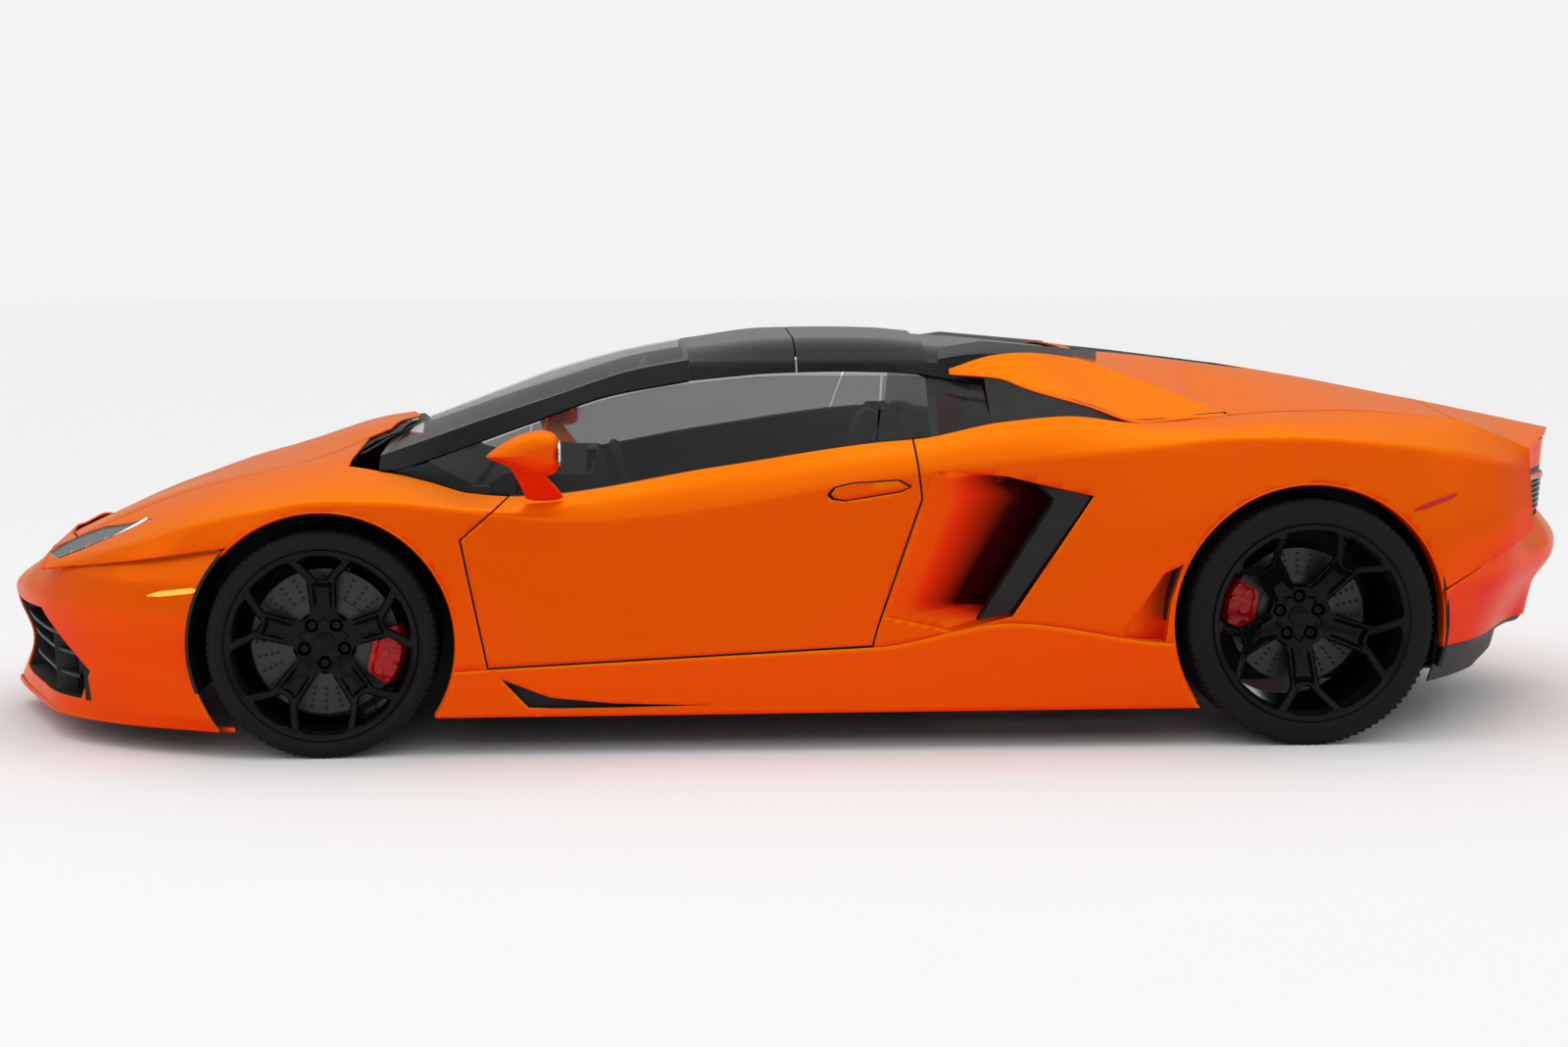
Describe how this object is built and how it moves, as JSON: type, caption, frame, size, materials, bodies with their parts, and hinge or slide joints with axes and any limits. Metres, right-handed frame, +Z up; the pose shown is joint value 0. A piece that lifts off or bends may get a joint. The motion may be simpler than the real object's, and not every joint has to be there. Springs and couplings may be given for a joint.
{
  "type": "supercar",
  "caption": "Low wedge-shaped mid-engined two-seat car with a removable black roof, lifting scissor doors, opening hood and engine cover, steering front wheels and free-rolling wheels.",
  "frame": {"origin": "on the ground, midway between the two axles, in the middle of the car", "axes": "+X to the tail, +Y to the car's own right side, +Z up"},
  "size_m": [4.78, 2.266, 1.136],
  "materials": {
    "body_paint": "pearl orange gloss paint",
    "gloss_black": "gloss black",
    "satin_black": "matte black",
    "glass": "lightly tinted",
    "lamp": "clear lens over dark reflector",
    "red_lamp": "red lens",
    "structure": "dark coated",
    "engine": "cast block",
    "exhaust": "satin steel",
    "caliper": "red enamel",
    "seat_leather": "black leather",
    "cabin_trim": "black trim",
    "tyre": "rubber",
    "rim_black": "gloss black",
    "brake_disc": "drilled ceramic disc"
  },
  "bodies": {
    "root": {"tub": "structure", "front_bumper": "body_paint", "front_grilles": "satin_black", "front_fenders": "body_paint", "headlights": "lamp", "wheel_arch_liners": "satin_black", "side_sills": "body_paint", "rear_fenders": "body_paint", "windshield_frame": "gloss_black", "windshield": "glass", "roof_panels": "gloss_black", "rear_hoop": "gloss_black", "quarter_windows": "glass", "side_blades": "body_paint", "tail_spoiler": "body_paint", "rear_bumper": "body_paint", "rear_grille": "satin_black", "tail_lights": "red_lamp", "diffuser": "satin_black", "exhaust": "exhaust", "engine": "engine", "rear_uprights": "structure", "rear_calipers": "caliper", "front_arms": "structure", "rear_arms": "structure", "seat_left": "seat_leather", "seat_right": "seat_leather", "dashboard": "cabin_trim", "centre_console": "cabin_trim", "steering_wheel": "cabin_trim", "cowl": "satin_black", "luggage_tray": "satin_black", "hinge_posts": "structure", "intake_blades": "satin_black"},
    "hood": {"hood": "body_paint"},
    "engine_cover": {"engine_cover": "body_paint"},
    "door_left": {"door_left": "body_paint", "door_glass_left": "glass", "mirror_left": "body_paint"},
    "knuckle_left": {"knuckle_front_left": "structure", "caliper_front_left": "caliper"},
    "wheel_front_left": {"rim_front_left": "rim_black", "tyre_front_left": "tyre", "brake_disc_front_left": "brake_disc"},
    "wheel_rear_left": {"rim_rear_left": "rim_black", "tyre_rear_left": "tyre", "brake_disc_rear_left": "brake_disc"},
    "door_right": {"door_right": "body_paint", "door_glass_right": "glass", "mirror_right": "body_paint"},
    "knuckle_right": {"knuckle_front_right": "structure", "caliper_front_right": "caliper"},
    "wheel_front_right": {"rim_front_right": "rim_black", "tyre_front_right": "tyre", "brake_disc_front_right": "brake_disc"},
    "wheel_rear_right": {"rim_rear_right": "rim_black", "tyre_rear_right": "tyre", "brake_disc_rear_right": "brake_disc"}
  },
  "joints": [
    {"name": "steer_left", "type": "hinge", "parent": "root", "child": "knuckle_left", "pos_m": [-1.35, -0.827, 0.309], "axis": [0, 0, 1], "range_deg": [-32, 32]},
    {"name": "steer_right", "type": "hinge", "parent": "root", "child": "knuckle_right", "pos_m": [-1.35, 0.827, 0.309], "axis": [0, 0, 1], "range_deg": [-32, 32]},
    {"name": "wheel_front_left_spin", "type": "hinge", "parent": "knuckle_left", "child": "wheel_front_left", "pos_m": [-1.35, -0.86, 0.309], "axis": [0, 1, 0], "continuous": true},
    {"name": "wheel_rear_left_spin", "type": "hinge", "parent": "root", "child": "wheel_rear_left", "pos_m": [1.35, -0.85, 0.34], "axis": [0, 1, 0], "continuous": true},
    {"name": "wheel_front_right_spin", "type": "hinge", "parent": "knuckle_right", "child": "wheel_front_right", "pos_m": [-1.35, 0.86, 0.309], "axis": [0, 1, 0], "continuous": true},
    {"name": "wheel_rear_right_spin", "type": "hinge", "parent": "root", "child": "wheel_rear_right", "pos_m": [1.35, 0.85, 0.34], "axis": [0, 1, 0], "continuous": true},
    {"name": "door_left_lift", "type": "hinge", "parent": "root", "child": "door_left", "pos_m": [-0.93, -0.8, 0.69], "axis": [0.2145, -0.975, -0.0585], "range_deg": [0, 65]},
    {"name": "door_right_lift", "type": "hinge", "parent": "root", "child": "door_right", "pos_m": [-0.93, 0.8, 0.69], "axis": [-0.2145, -0.975, 0.0585], "range_deg": [0, 65]},
    {"name": "hood_lift", "type": "hinge", "parent": "root", "child": "hood", "pos_m": [-1.125, 0, 0.846], "axis": [0, 1, 0], "range_deg": [0, 55]},
    {"name": "engine_cover_lift", "type": "hinge", "parent": "root", "child": "engine_cover", "pos_m": [0.78, 0, 1.062], "axis": [0, -1, 0], "range_deg": [0, 45]}
  ],
  "couplings": [
    {"joint": "steer_right", "follows": "steer_left", "ratio": 1}
  ]
}
